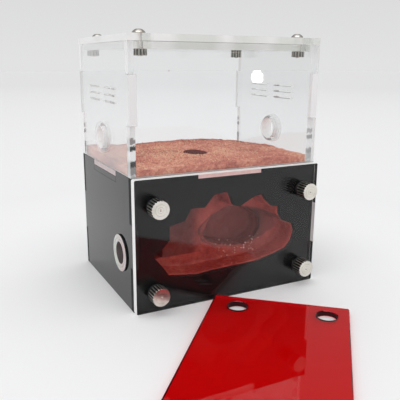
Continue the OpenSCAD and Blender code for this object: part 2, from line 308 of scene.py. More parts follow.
def meshMark(tree, name):
    # a number that the mesh carries at each point
    return addNode(tree, "Attribute", {"attribute_name": name}).outputs["Fac"]


def relief(height, strength, distance=0.0001):
    # fine relief by shading; the distance is in metres
    return worked("Bump", Strength=strength, Distance=distance, Height=height).outputs[0]


def twoShaders(share, first, second):
    # the material is first where share is 0 and second where it is 1
    mix = worked("MixShader", Fac=share, _1=first.outputs[0], _2=second.outputs[0])
    setSockets(share.id_data.nodes["Material Output"], Surface=mix.outputs[0])


# materials

clearSheets = {
    "arenaAcrylic": {"tint": (0.985, 0.99, 0.99), "ior": 1.40},
    # painted light and shade: the side walls are copies of the arena's acrylic, the left one dimmer and
    # partly matt with a pale haze, the right one dimmer still
    "leftWallAcrylic": {"tint": (0.94, 0.945, 0.945), "clear": 0.88},
    "rightWallAcrylic": {"tint": (0.91, 0.915, 0.915)},
    "lidAcrylic": {"tint": (0.955, 0.968, 0.955), "lamp": (0.93, 0.94, 0.93)},
    "coverAcrylic": {"tint": (0.985, 0.99, 0.99), "lamp": (0.95, 0.95, 0.95), "ior": 1.30},
    "redAcrylic": {"tint": (0.72, 0.012, 0.03), "lamp": (0.9, 0.12, 0.16)},
    "floorPlateAcrylic": {"tint": (0.97, 0.96, 0.955), "lamp": (0.9, 0.88, 0.88), "rough": 0.02},
}


def makeClear(name, tint, lamp=(0.93, 0.94, 0.94), ior=1.49, rough=0.0, clear=1.0):
    # glass to the eye; lamp rays and light off matt surfaces go straight through
    tree, shader, marks = patterned(name, handMarks, 26.0)
    dulled = spread(marks["Smudge"], 0.0, 1.0, rough, rough + 0.012)
    setSockets(shader, Base_Color=(*tint, 1), Roughness=dulled, Transmission_Weight=clear, IOR=ior)
    through = addNode(tree, "BsdfTransparent", Color=(*lamp, 1))
    rays = addNode(tree, "LightPath").outputs
    straight = maths("MAXIMUM", rays["Is Shadow Ray"], rays["Is Diffuse Ray"])
    twoShaders(straight, shader, through)


def makeBlackPanel(name, specular, roughLow, roughHigh):
    # polished black sheet with pale hair scratches, duller where hands have been
    tree, shader, marks = patterned(name, handMarks, 18.0)
    black = ramp(marks["Scratch"], [(0.0, (0.0075, 0.0078, 0.0083)), (1.0, (0.03, 0.03, 0.032))])
    dulled = spread(marks["Smudge"], 0.0, 1.0, roughLow, roughHigh)
    setSockets(shader, Base_Color=black, Roughness=dulled, IOR=1.49, Specular_IOR_Level=specular)


sawnRimGlow = {
    "milk": [(0.0, (0.86, 0.86, 0.85)), (1.0, (0.95, 0.95, 0.945))],
    "finger": (0.035, 0.0117),  # its middle and half its height
}


def makeSawnRimGlow():
    # the cover's cut edges: milky from outside, a painted glow of the light that the sheet carries to its
    # edge, with fine saw lines, and clear from inside, where the sheet's own mirroring carries the black
    # mask up to the edge
    tree, shader, grain = patterned("sawnRimGlow", mineralGrain, 900.0)
    milk = ramp(grain["Tone"], sawnRimGlow["milk"])
    bump = relief(grain["Height"], 0.2)
    setSockets(shader, Base_Color=milk, Roughness=0.45, IOR=1.49, Normal=bump)
    cover = clearSheets["coverAcrylic"]
    clear = addNode(tree, "BsdfPrincipled", Base_Color=(*cover["tint"], 1), IOR=cover["ior"])
    setSockets(clear, Transmission_Weight=1.0, Roughness=0.0)
    # beside the right panel's finger the rim stays milky from inside too, a painted highlight
    place = objectPlace(tree)
    beside = maths("COMPARE", place["Z"], *sawnRimGlow["finger"])
    finger = maths("MULTIPLY", beside, maths("GREATER_THAN", place["X"], 0.0))
    inside = addNode(tree, "NewGeometry").outputs["Backfacing"]
    twoShaders(maths("MULTIPLY", inside, maths("SUBTRACT", 1.0, finger)), shader, clear)


grainyFinishes = {
    # painted glow: the clear walls' cut edges and vent walls are pale for the light that the sheets carry
    # to them
    "wallEdge": {"size": 480.0, "low": (0.86, 0.865, 0.865), "high": (0.97, 0.97, 0.97), "Alpha": 0.6},
    "ventEdge": {"size": 1600.0, "low": (0.9, 0.9, 0.9), "high": (0.98, 0.98, 0.98), "Alpha": 0.42},
    # painted glow: the floor plate's edges are pink with the sand's light carried through the plate,
    # dimmer on the left tabs' ends
    "floorEdge": {"size": 2400.0, "low": (0.92, 0.60, 0.57), "high": (1.0, 0.72, 0.68)},
    "leftTab": {"size": 2400.0, "low": (0.52, 0.42, 0.42), "high": (0.62, 0.5, 0.5)},
    "faintRing": {"size": 480.0, "low": (0.82, 0.83, 0.83), "high": (0.95, 0.95, 0.95), "Alpha": 0.2},
    # painted light: the arena ports' bores are near white
    "brightBore": {"size": 480.0, "low": (0.95, 0.95, 0.95), "high": (1.0, 1.0, 1.0), "Alpha": 0.9},
    # painted shade: the nest port's bore is dark
    "boreShade": {
        "size": 480.0, "low": (0.10, 0.085, 0.085), "high": (0.22, 0.19, 0.19),
        "Roughness": 0.35, "Specular_IOR_Level": 0.4,
    },
    # painted shade: the red sheet's hole walls are near black
    "filterHole": {
        "size": 2400.0, "low": (0.02, 0.0, 0.001), "high": (0.05, 0.001, 0.003),
        "Roughness": 0.5, "Specular_IOR_Level": 0.2,
    },
    "blackCut": {
        "size": 1200.0, "low": (0.006, 0.006, 0.006), "high": (0.02, 0.02, 0.02),
        "Roughness": 0.55, "Specular_IOR_Level": 0.15, "IOR": 1.5, "bump": 0.2,
    },
    "blackNylon": {
        "size": 1500.0, "low": (0.012, 0.012, 0.012), "high": (0.028, 0.028, 0.028),
        "Roughness": 0.42, "IOR": 1.5, "bump": 0.15,
    },
}


def makeGrainy(name, size, low, high, bump=0.1, Roughness=0.3, IOR=1.49, **values):
    # a tone between low and high by the grain, with fine relief: the clear sheets' cut edges, pale in a
    # painted glow of the light that the sheets carry to them, and partly see-through; port rings, one bore
    # in painted light and one in painted shade, holes in painted shade, black cut edges and nylon
    tree, shader, grain = patterned(name, mineralGrain, size)
    tone = ramp(grain["Tone"], [(0.0, low), (1.0, high)])
    normal = relief(grain["Height"], bump)
    setSockets(shader, Base_Color=tone, Roughness=Roughness, IOR=IOR, Normal=normal, **values)


lidEdge = {
    "tones": {"pale": (0.98, 0.98, 0.97), "light": (0.92, 0.925, 0.91), "patch": (0.82, 0.84, 0.80)},
    "marks": [
        (0.0, "pale"), (0.2, "pale"), (0.26, "patch"), (0.40, "patch"), (0.46, "pale"), (0.52, "light"),
        (0.56, "patch"), (0.66, "light"), (0.7, "pale"), (0.75, "patch"), (1.0, "patch"),
    ],  # share of the way from left to right, and tone
    "ends": (-0.055, 0.055),
    "upper": (0.1339, 0.1341, 1.0, 0.91),  # from height to height, and the factor below and above: the upper plate's edge glows dimmer
    "screw": 0.046,
    "clearer": (0.0014, 0.0045, 0.2, 0.85),  # distance from the screw, and Alpha there
}


def makeLidEdge():
    # edge in a painted glow of the light that the lid carries to it, with grey-green patches that follow
    # one another along the lid, and clearer beside the screws, whose shanks show through; the upper
    # plate's edge glows dimmer
    tree, shader, grain = patterned("lidEdge", mineralGrain, 450.0)
    place = objectPlace(tree)
    across = place["X"]
    drift = maths("ADD", across, spread(grain["Tone"], 0.0, 1.0, -0.002, 0.002))
    stops = [(at, lidEdge["tones"][tone]) for at, tone in lidEdge["marks"]]
    tones = ramp(spread(drift, *lidEdge["ends"]), stops)
    dimmer = scaled(tones, spread(place["Z"], *lidEdge["upper"]))
    beside = maths("SUBTRACT", maths("ABSOLUTE", across), lidEdge["screw"])
    alpha = spread(maths("ABSOLUTE", beside), *lidEdge["clearer"])
    bump = relief(grain["Height"], 0.1)
    setSockets(shader, Base_Color=dimmer, Alpha=alpha, Roughness=0.35, IOR=1.49, Normal=bump)


cornerMarks = [
    (70.0, "pale"), (71.6, "grey"), (74.8, "grey"), (75.2, "dark"), (77.4, "dark"), (78.4, "pale"),
    (82.9, "pale"), (83.4, "dark"), (85.1, "dark"), (85.4, "pale"), (86.1, "pale"), (86.5, "grey"),
    (88.4, "grey"), (89.2, "pale"), (94.6, "pale"), (95.4, "dim"), (118.6, "dim"), (119.4, "pale"),
    (134.0, "pale"),
]  # height and tone up the side walls' glued ends: a painted glow, with painted reflections of the nest and the sand in the grey and dark bands
cornerTones = {
    "pale": (1.0, 1.0, 1.0),
    "dim": (0.82, 0.82, 0.82),
    "grey": (0.3, 0.27, 0.27),
    "dark": (0.01, 0.007, 0.007),
    "right": (0.86, 0.86, 0.86, 1),
}


def makeCornerEdge():
    # the walls' glued ends: a painted glow, with painted reflections of the dark nest and the sand low
    # down, fainter on the right wall
    tree, shader, grain = patterned("cornerEdge", mineralGrain, 700.0)
    place = objectPlace(tree)
    height = maths("ADD", place["Z"], spread(grain["Grain"], 0.0, 1.0, -0.0008, 0.0008))
    low, high = cornerMarks[0][0], cornerMarks[-1][0]
    stops = [((at - low) / (high - low), cornerTones[tone]) for at, tone in cornerMarks]
    reflectedBands = ramp(spread(height, low * mm, high * mm), stops)
    fainter = spread(place["X"], 0.0, 0.01, 0.0, 0.45)
    tone = mixed(fainter, reflectedBands, cornerTones["right"])
    setSockets(shader, Base_Color=tone, Roughness=0.3, IOR=1.49)


# painted shade: the colour's factor along the knurl, near black in the grooves
knurlGrooveShade = [(0.0, 1.0), (0.42, 1.0), (0.58, 0.12), (0.8, 0.008)]


def makeMetal(name, colour, rough):
    # cast variation in tone and turned lines in roughness; knurl is 0 on turned faces, 0.4 on a ridge's
    # top and 1 at the bottom of a groove, where the colour darkens towards black, painted shade
    tree, shader, marks = patterned(name, handMarks, 160.0)
    smudge = marks["Smudge"]
    plain = ramp(smudge, [(0.0, colour), (1.0, [c * 0.82 for c in colour])])
    knurl = meshMark(tree, "knurl")
    ridged = ramp(knurl, [(at, (tone, tone, tone)) for at, tone in knurlGrooveShade])
    tone = mixed(1.0, plain, ridged, "MULTIPLY")
    worn = spread(smudge, 0.0, 1.0, rough, rough + 0.12)
    dulled = maths("MAXIMUM", worn, spread(knurl, 0.0, 0.35, 0.0, 0.34))
    setSockets(shader, Base_Color=tone, Roughness=dulled, Metallic=1.0)


portRing = {
    "centre": (-24.5, 27.0),  # y, z
    "back": [(0.0, (0.49, 0.52, 0.48)), (1.0, (0.64, 0.67, 0.63))],
    "front": [(0.0, (0.5, 0.4, 0.4)), (1.0, (0.68, 0.59, 0.59))],
    "lines": 7500.0,
}


def makeFrosted():
    # turned milky acrylic: greenish towards the back and pinkish towards the front, with
    # the turning tool's fine rings, tone = sin(radius * lines)
    tree, shader, grain = patterned("frostedRing", mineralGrain, 700.0)
    place = objectPlace(tree)
    y, z = (maths("SUBTRACT", place[a], c * mm) for a, c in zip("YZ", portRing["centre"]))
    radius = distance(addNode(tree, "CombineXYZ", _0=y, _1=z).outputs[0])
    rings = spread(maths("SINE", maths("MULTIPLY", radius, portRing["lines"])), -1.0, 1.0)
    tone = weighed(grain["Tone"], rings, 0.6)
    front, back = (ramp(tone, portRing[end]) for end in ("front", "back"))
    milk = mixed(spread(y, -0.004, 0.006), front, back)
    bump = relief(maths("ADD", grain["Height"], rings), 0.12)
    setSockets(shader, Base_Color=milk, Roughness=0.3, IOR=1.49)
    setSockets(shader, Subsurface_Weight=0.2, Subsurface_Scale=0.002, Normal=bump)


plasterTones = {
    "red": [(0.0, (0.24, 0.022, 0.017)), (0.5, (0.42, 0.05, 0.038)), (1.0, (0.62, 0.12, 0.085))],
    "greyer": [(0.0, (0.21, 0.027, 0.022)), (1.0, (0.36, 0.058, 0.046))],
}


def makePlaster():
    # damp red-brown plaster: broad stains, fine grain, and wet spots that glint; pit is 1 where the
    # carving is deep, in painted shade, and on the darker patch, and turns the plaster greyer; plainTone
    # is 1 on plain plaster and less where it is darkened: by painted shade along the patch's left rim and
    # beside the pit, and to the left and towards the bottom
    tree, shader, grain = patterned("dampPlaster", mineralGrain, 420.0)
    tone = weighed(grain["Tone"], grain["Grain"], 0.6)
    red, greyer = (ramp(tone, plasterTones[part]) for part in ("red", "greyer"))
    colour = scaled(mixed(meshMark(tree, "pit"), red, greyer), meshMark(tree, "plainTone"))
    glint = spread(grain["Grain"], 0.0, 1.0, 0.62, 0.25)
    bump = relief(grain["Height"], 0.8, 0.0007)
    setSockets(shader, Base_Color=colour, Roughness=glint, IOR=1.4, Normal=bump)


sandTones = {
    "plainTone": [(0.2, (0.45, 0.12, 0.085)), (0.5, (0.7, 0.235, 0.165)), (0.8, (0.88, 0.46, 0.31))],
    # painted shade, also the colour of the darker spot beside the left wall
    "darkening": (0.19, 0.014, 0.007, 1),
}


def makeSand():
    # clay sand; darkening is 1 on the entrance hole's wall and part way along the back, towards the right
    # and in the right back corner, all painted shade, and on a darker spot beside the left wall
    tree, shader, grain = patterned("claySand", mineralGrain, 620.0)
    plain = ramp(weighed(grain["Tone"], grain["Grain"], 0.5), sandTones["plainTone"])
    colour = mixed(meshMark(tree, "darkening"), plain, sandTones["darkening"])
    bump = relief(grain["Height"], 0.9, 0.0006)
    setSockets(shader, Base_Color=colour, Roughness=0.9, Specular_IOR_Level=0.25, Normal=bump)


grainColours = {
    "looseGrain": [
        (0.0, (0.4, 0.12, 0.08)), (0.4, (0.66, 0.27, 0.18)), (0.75, (0.82, 0.48, 0.3)),
        (1.0, (0.9, 0.68, 0.46)),
    ],
    # painted glints: the pale crumbs stand in for glints on the wet plaster
    "glintCrumb": [(0.0, (0.45, 0.14, 0.11)), (0.5, (0.75, 0.36, 0.31)), (1.0, (0.95, 0.72, 0.68))],
}


def makeGrainColours(name, rough):
    # each grain's own tone comes from its attribute
    tree, shader = newMaterial(name)
    colour = ramp(meshMark(tree, "grainTone"), grainColours[name])
    setSockets(shader, Base_Color=colour, Roughness=rough, Specular_IOR_Level=0.3)


for name, values in clearSheets.items():
    makeClear(name, **values)
for name, values in grainyFinishes.items():
    makeGrainy(name, **values)
makeBlackPanel("blackPanel", 0.39, 0.015, 0.06)
makeBlackPanel("blackMask", 0.03, 0.02, 0.05)
makeMetal("nickel", (0.78, 0.745, 0.68), 0.14)
# painted shade: the lid nuts get a darker copy of the nickel
makeMetal("darkNickel", (0.42, 0.40, 0.36), 0.2)
makeGrainColours("looseGrain", 0.8)
makeGrainColours("glintCrumb", 0.35)
for make in (makeSawnRimGlow, makeCornerEdge, makeLidEdge, makeFrosted, makePlaster, makeSand):
    make()
print("materials are made")

# mesh helpers


def readPoints(mesh, field="co"):
    # the points' places, or another vector that each has, one row each
    values = np.empty(len(mesh.vertices) * 3)
    mesh.vertices.foreach_get(field, values)
    return values.reshape(-1, 3)


def writeMark(mesh, name, values):
    # a number at each point, which a material reads
    mark = mesh.attributes.new(name, "FLOAT", "POINT")
    mark.data.foreach_set("value", values.astype(np.float32))


def shadeFaces(mesh, smooth=True):
    # all faces smooth or all flat
    mesh.polygons.foreach_set("use_smooth", [smooth] * len(mesh.polygons))


def welded(mesh):
    # a working copy with its doubles merged
    work = bmesh.new()
    work.from_mesh(mesh)
    bmesh.ops.remove_doubles(work, verts=work.verts, dist=1e-6)
    return work


def written(work, mesh):
    # the working copy put into the mesh, and let go
    work.to_mesh(mesh)
    work.free()
    return mesh


def carried(name, mesh, body):
    # an object of this mesh that rides on its body
    obj = newObject(name, mesh)
    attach(obj, body)
    return obj


def addPiece(name, points, faces, material, body, slot, smooth=True):
    # one piece from points in metres
    mesh = bpy.data.meshes.new(name)
    mesh.from_pydata(np.asarray(points, float).tolist(), [], faces)
    mesh.materials.append(finish[material])
    mesh.update()
    shadeFaces(mesh, smooth)
    return carried(name, mesh, body)


def gridFaces(rows, columns):
    # quads between neighbouring rows, with the last column joined to the first
    r, c = np.meshgrid(np.arange(rows - 1), np.arange(columns), indexing="ij")
    after = (c + 1) % columns
    low, high = r * columns, (r + 1) * columns
    quads = np.stack([low + c, low + after, high + after, high + c], -1)
    return quads.reshape(-1, 4).tolist()


def turned(profile, sides, ripple, at, toward):
    # radius and height pairs carried round an axis; ripple(angle, row) changes the radius;
    # rows whose radius is 0 close into one point
    profile = np.asarray(profile, float)
    angle = np.linspace(0, 2 * pi, sides, endpoint=False)
    radius = np.repeat(profile[:, :1], sides, 1)
    if ripple is not None:
        radius = radius + ripple(angle, np.arange(len(profile))[:, None])
    height = np.repeat(profile[:, 1:], sides, 1)
    local = np.stack([radius * np.cos(angle), radius * np.sin(angle), height], -1)
    turn = np.array(Vector((0, 0, 1)).rotation_difference(Vector(toward)).to_matrix())
    return (local.reshape(-1, 3) @ turn.T + at) * mm


def joinShapes(shapes):
    # (points, faces) pairs in one list of each
    points, faces, start = [], [], 0
    for somePoints, someFaces in shapes:
        points.append(somePoints)
        faces += [[i + start for i in face] for face in someFaces]
        start += len(somePoints)
    return np.concatenate(points), faces


def outward(obj, angle):
    # weld the seams and poles, point the faces outwards, and keep edges over the angle
    # sharp
    work = welded(obj.data)
    bmesh.ops.dissolve_degenerate(work, edges=work.edges, dist=1e-7)
    bmesh.ops.recalc_face_normals(work, faces=work.faces)
    written(work, obj.data).set_sharp_from_angle(angle=radians(angle))


def makeTurned(
    name, places, toward, profile, sides, material, body, slot, node, ripple=None, angle=30
):
    # one mesh of the same turned shape at each place; each profile starts and ends on
    # the axis or meets itself, so that the shape is closed
    faces = gridFaces(len(profile), sides)
    shapes = [(turned(profile, sides, ripple, at, toward), faces) for at in places]
    obj = addPiece(name, *joinShapes(shapes), material, body, slot)
    outward(obj, angle)
    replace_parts(obj, node)
    return obj


def latticeNoise(points, size, seed):
    # value noise: random numbers on a lattice of that size, eased between its points
    table = np.random.default_rng(seed).random((32, 32, 32)) * 2 - 1
    p = np.asarray(points) / size
    cell = np.floor(p).astype(int)
    t = p - cell
    t = t * t * (3 - 2 * t)
    total = 0
    for corner in np.ndindex(2, 2, 2):
        i = (cell + corner) % 32
        weight = np.prod(np.where(corner, t, 1 - t), axis=1)
        total = total + weight * table[i[:, 0], i[:, 1], i[:, 2]]
    return total


def lumpNoise(points, size, seed):
    # three sizes of value noise, each half the one before in size and height
    return sum(latticeNoise(points, size / 2**i, seed + i) * 0.5**i for i in range(3))


def rise(value, start, over):
    # 0 up to start, then straight up to 1; it falls with the value when over is negative
    return np.clip((value - start) / over, 0, 1)


def mound(x, y, centre, reach):
    # e to the power of -(distance from the centre / reach) squared
    return np.exp(-(((x - centre[0]) / reach[0]) ** 2 + ((y - centre[1]) / reach[1]) ** 2))


def cutSheet(name, node, material, body, bevel, inset=0.0, edges=()):
    # the CAD solid with its doubles merged, its edges chamfered, and, where the sheet
    # touches another clear one, every face drawn in by a hair; edges pairs a material
    # with the test that picks its faces
    work = welded(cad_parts[node].data)
    bmesh.ops.dissolve_limit(work, angle_limit=radians(0.5), verts=work.verts, edges=work.edges)
    sharp = [e for e in work.edges if len(e.link_faces) == 2 and e.calc_face_angle() > radians(35)]
    bmesh.ops.bevel(work, geom=sharp, offset=bevel * mm, segments=1, affect="EDGES", clamp_overlap=True)
    moved = []
    for vert in work.verts:
        ways = {tuple(round(c, 3) for c in f.normal) for f in vert.link_faces}
        moved.append(vert.co - sum((Vector(way) for way in ways), Vector()) * inset * mm)
    for vert, place in zip(work.verts, moved):
        vert.co = place
    mesh = written(work, bpy.data.meshes.new(name))
    mesh.materials.append(finish[material])
    shadeFaces(mesh)
    normals, centres = (np.array([getattr(p, key) for p in mesh.polygons]) for key in ("normal", "center"))
    index = np.zeros(len(mesh.polygons), int)
    for count, (kind, test) in enumerate(edges):
        mesh.materials.append(finish[kind])
        index[test(normals, centres)] = count + 1
    mesh.polygons.foreach_set("material_index", index)
    mesh.update()
    mesh.set_sharp_from_angle(angle=radians(15))
    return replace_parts(carried(name, mesh, body), node)


# black box


def cutFaces(axis):
    # faces that stand square to a sheet whose own faces look along that axis
    return lambda normals, centres: np.abs(normals[:, axis]) < 0.5


def dullMaskEdges(normals, centres):
    # the mask's cut edges, but for its polished upper fingers
    return cutFaces(1)(normals, centres) & (centres[:, 2] < 0.035)


def dullCeilingEdges(normals, centres):
    # the ceiling's cut edges, but for the polished end of its left tab
    return cutFaces(2)(normals, centres) & (normals[:, 0] > -0.9)


boxSheets = {
    "sidePanelLeft": ("left_side_panel", "blackPanel", cutFaces(0)),
    "sidePanelRight": ("right_side_panel", "blackPanel", cutFaces(0)),
    "backPanel": ("back_panel", "blackPanel", cutFaces(1)),
    "basePanel": ("base_panel", "blackPanel", cutFaces(2)),
    "ceilingPanel": ("nest_ceiling_panel", "blackPanel", dullCeilingEdges),
    "maskPanel": ("front_mask_panel", "blackMask", dullMaskEdges),
}
for name, (node, kind, dull) in boxSheets.items():
    cutSheet(name, node, kind, "nest", 0.1, 0.0, [("blackCut", dull)])
print("black box is cut")

# clear cover, arena and lid


def outerRim(normals, centres):
    # faces on the sheet's rim: square to the front, and near the outline
    side = np.abs(normals[:, 1]) < 0.9
    x, z = np.abs(centres[:, 0]), centres[:, 2]
    return side & ((x > 0.0545) | (z > 0.0695) | (z < 0.0005))


def slotWalls(normals, centres):
    # the walls of the vents and of the port's hole in a side wall
    y, z = np.abs(centres[:, 1]) / mm, centres[:, 2] / mm
    inVents, inPort = (z > 103) & (z < 113) & (y < 23), np.hypot(y, z - 85) < 8.5
    return cutFaces(0)(normals, centres) & (inVents | inPort)


def gluedEnds(normals, centres):
    # a side wall's upright ends, on the front and back walls
    return (np.abs(normals[:, 1]) > 0.5) & (np.abs(centres[:, 1]) > 0.0375)


def leftTabs(normals, centres):
    # the ends of the tabs that show in the left wall
    return normals[:, 0] < -0.9


plainEdge = {axis: [("wallEdge", cutFaces(axis))] for axis in (0, 1)}
sideEdges = plainEdge[0] + [("ventEdge", slotWalls), ("cornerEdge", gluedEnds)]
floorEdges = [("floorEdge", cutFaces(2)), ("leftTab", leftTabs)]
clearSheetsCut = {
    "coverSheet": ("front_cover", "coverAcrylic", "nest", 0.3, 0.015, [("sawnRimGlow", outerRim)]),
    "arenaFront": ("arena_front_wall", "arenaAcrylic", "nest", 0.06, 0.02, plainEdge[1]),
    "arenaBack": ("arena_back_wall", "arenaAcrylic", "nest", 0.06, 0.02, plainEdge[1]),
    "arenaLeft": ("arena_left_wall", "leftWallAcrylic", "nest", 0.06, 0.02, sideEdges),
    "arenaRight": ("arena_right_wall", "rightWallAcrylic", "nest", 0.06, 0.02, sideEdges),
    "arenaFloor": ("arena_floor_plate", "floorPlateAcrylic", "nest", 0.06, 0.02, floorEdges),
    "lidSheet": ("lid_plate", "lidAcrylic", "lid", 0.06, 0.02, [("lidEdge", cutFaces(2))]),
    "lidSeat": ("lid_locating_plate", "lidAcrylic", "lid", 0.06, 0.02, [("lidEdge", cutFaces(2))]),
}
for name, (node, kind, body, bevel, inset, edges) in clearSheetsCut.items():
    cutSheet(name, node, kind, body, bevel, inset, edges)

filterPlate = {"corner": (-10, -46.5), "turn": -40.7, "size": (70, 110), "rim": 2}


def holeWalls(normals, centres):
    # upright faces further in than the filter's rim, in the plate's own frame
    turn, rim, (wide, long) = radians(filterPlate["turn"]), filterPlate["rim"], filterPlate["size"]
    x, y = (centres[:, axis] / mm - filterPlate["corner"][axis] for axis in (0, 1))
    along, across = x * cos(turn) + y * sin(turn), -x * sin(turn) + y * cos(turn) + long
    within = (along > rim) & (along < wide - rim) & (across > rim) & (across < long - rim)
    return within & (np.abs(normals[:, 2]) < 0.5)


cutSheet(
    "filterSheet", "red_filter_plate", "redAcrylic", "red_filter", 0.3, 0.0,
    [("filterHole", holeWalls)],
)
print("clear and red sheets are cut")

# thumb nuts, washers and studs

forward, upward = (0, -1, 0), (0, 0, 1)
thumbNut = {
    "seat": -46.8,  # y of its foot
    "bore": 2.05, "boreDepth": 5.2, "neck": 3.7, "neckLength": 1.0, "head": 4.75, "length": 7.2,
    "chamfer": 0.2, "ridges": 20, "depth": 0.4, "sides": 320,
    "face": [
        (0.94, 0.0), (0.9, 0.0), (0.665, 0.0), (0.655, -0.09), (0.625, -0.09), (0.615, 0.0),
        (0.36, 0.0), (0.35, -0.09), (0.32, -0.09), (0.31, 0.0), (0.13, -0.01), (0.1, -0.12),
        (0.04, -0.22), (0, -0.24),
    ],  # share of the face's radius, and lift
}


def thumbNutProfile():
    # from the bore's end out over the neck and the head to the dished face
    n = thumbNut
    bore, neck, head, chamfer = n["bore"], n["neck"], n["head"], n["chamfer"]
    deep, low, high = n["boreDepth"], n["neckLength"], n["length"]
    rows = [(0, deep), (bore - 0.4, deep), (bore, deep - 0.3), (bore, 0.25), (bore + 0.25, 0.0)]
    rows += [(neck - 0.15, 0.0), (neck, 0.15), (neck, low), (head - chamfer - 0.3, low)]
    rows += [(head - 0.02, low + chamfer), (head, low + chamfer + 0.15)]
    rows += [(head, high - chamfer - 0.15), (head - 0.02, high - chamfer), (head - chamfer * 0.9, high)]
    return rows + [((head - chamfer * 0.9) * share, high + lift) for share, lift in n["face"]]


def knurlRipple(ridges, depth, rows):
    # straight ridges with flat tops: the radius dips in a round groove between them
    def ripple(angle, row):
        phase = (angle * ridges / (2 * pi)) % 1.0
        dip = np.clip(1 - np.abs(phase - 0.5) / 0.3, 0, 1) ** 0.7
        return -depth * dip * np.isin(row, rows)

    return ripple


def markKnurl(obj, places, toward, outer, depth, span):
    # 0.4 on the ridges' tops to 1 at the grooves' bottoms, from each point's distance to
    # its axis; 0 off the knurled span
    away = readPoints(obj.data)[:, None] / mm - places
    height = away @ toward
    radius = np.linalg.norm(away - height[..., None] * toward, axis=-1)
    nearest = radius.argmin(1)
    height, radius = (a[np.arange(len(a)), nearest] for a in (height, radius))
    on = (height > span[0]) & (height < span[1]) & (radius > outer - 1.2 * depth)
    writeMark(obj.data, "knurl", np.where(on, 0.4 + 0.6 * np.clip((outer - radius) / depth, 0, 1), 0))


for corner, (x, z) in corners.items():
    n, at = thumbNut, (x, thumbNut["seat"], z)
    nut = makeTurned(
        "thumbNut_" + corner, [at], forward, thumbNutProfile(), n["sides"], "nickel",
        "nut_" + corner, "nickel", "thumb_nut_" + corner,
        knurlRipple(n["ridges"], n["depth"], [9, 10, 11, 12]), 25,
    )
    markKnurl(nut, [at], forward, n["head"], n["depth"], (n["neckLength"] + 0.1, n["length"] - 0.1))

washer = {"seat": -46, "inner": 2.1, "outer": 4.3, "thick": 0.8, "round": 0.15}
inner, outer, thick, cut = (washer[key] for key in ("inner", "outer", "thick", "round"))
ring = [
    (inner, cut), (inner + cut, 0), (outer - cut, 0), (outer, cut), (outer, thick - cut),
    (outer - cut, thick), (inner + cut, thick), (inner, thick - cut), (inner, cut),
]
for corner, (x, z) in corners.items():
    makeTurned(
        "nutWasher_" + corner, [(x, washer["seat"], z)], forward, ring, 96, "blackNylon",
        "washer_" + corner, "black_nylon", "nut_washer_" + corner,
    )

stud = {
    "seat": -37.2, "radius": 2.0, "pitch": 0.7, "depth": 0.22, "head": 4.0, "headThick": 1.8,
    "end": 14.8, "turnSteps": 8,
}


def threadRipple(rows, first, last, pitch, depth):
    # a thread on those rows: a saw wave of height over pitch less angle over a full turn
    heights = np.array([h for _, h in rows])

    def ripple(angle, row):
        phase = (heights[row] / pitch - angle / (2 * pi)) % 1.0
        return -depth * np.abs(2 * phase - 1) * ((row >= first) & (row < last))

    return ripple


def makeStuds():
    # a headed pin with a threaded shank
    s = stud
    head, radius, foot, end = s["head"], s["radius"], s["headThick"], s["end"]
    count = int((end - foot) / s["pitch"] * s["turnSteps"])
    rows = [(0, 0), (head - 0.2, 0), (head, 0.2), (head, foot), (radius, foot)]
    first = len(rows)
    rows += [(radius, h) for h in np.linspace(foot, end - 0.3, count)]
    rows += [(radius - 0.35, end), (0, end)]
    thread = threadRipple(rows, first + 2, first + count, s["pitch"], s["depth"])
    places = [(x, s["seat"], z) for x, z in corners.values()]
    makeTurned(
        "frontStuds", places, forward, rows, 32, "nickel", "nest", "nickel", "front_studs", thread, 40
    )


makeStuds()
print("nuts, washers and studs are turned")

# lid screws and nuts

lidBolts = [(x, y) for x in (-46, 46) for y in (-33, 33)]
lidScrew = {
    "seat": 137.5, "radius": 1.5, "pitch": 0.5, "depth": 0.15, "head": 3.4, "rim": 0.5,
    "dome": 2.4, "socket": 1.2, "deep": 1.2, "shank": 10.3, "steps": 150,
}


def makeLidScrews():
    # a domed head, undercut at its foot, with a six-sided socket, over a threaded shank;
    # the dome's height is a circle's arc over the rim
    s = lidScrew
    head, rim, dome, socket, end = s["head"], s["rim"], s["dome"], s["socket"], -s["shank"]
    arc = ((dome - rim) ** 2 + head**2) / (2 * (dome - rim))
    rows = [(0, dome - s["deep"]), (socket, dome - s["deep"]), (socket, dome - 0.25)]
    rows += [(r, dome - arc + (arc**2 - r**2) ** 0.5) for r in np.linspace(socket * 1.15, head, 12)]
    rows += [(head - 0.02, rim - 0.1), (head - 0.4, rim - 0.2), (head - 0.45, 0.0), (s["radius"], 0.0)]
    first = len(rows)
    rows += [(s["radius"], h) for h in -np.linspace(0.1, s["shank"] - 0.2, s["steps"])]
    rows += [(s["radius"] - 0.25, end), (0, end)]
    thread = threadRipple(rows, first, first + s["steps"], s["pitch"], s["depth"])

    def shape(angle, row):
        flat = np.cos(pi / 6) / np.cos((angle + pi / 6) % (pi / 3) - pi / 6) - 1
        return socket * flat * ((row == 1) | (row == 2)) + thread(angle, row)

    places = [(x, y, s["seat"]) for x, y in lidBolts]
    makeTurned(
        "lidScrews", places, upward, rows, 36, "nickel", "lid", "nickel", "lid_screws", shape, 35
    )


lidNut = {
    "seat": 127.5, "bore": 1.55, "radius": 3.4, "height": 3.0, "ridges": 12, "depth": 0.4,
    "chamfer": 0.2,
    "markDepth": 1.0,  # more than the depth, so that the grooves' painted shade stays grey
}


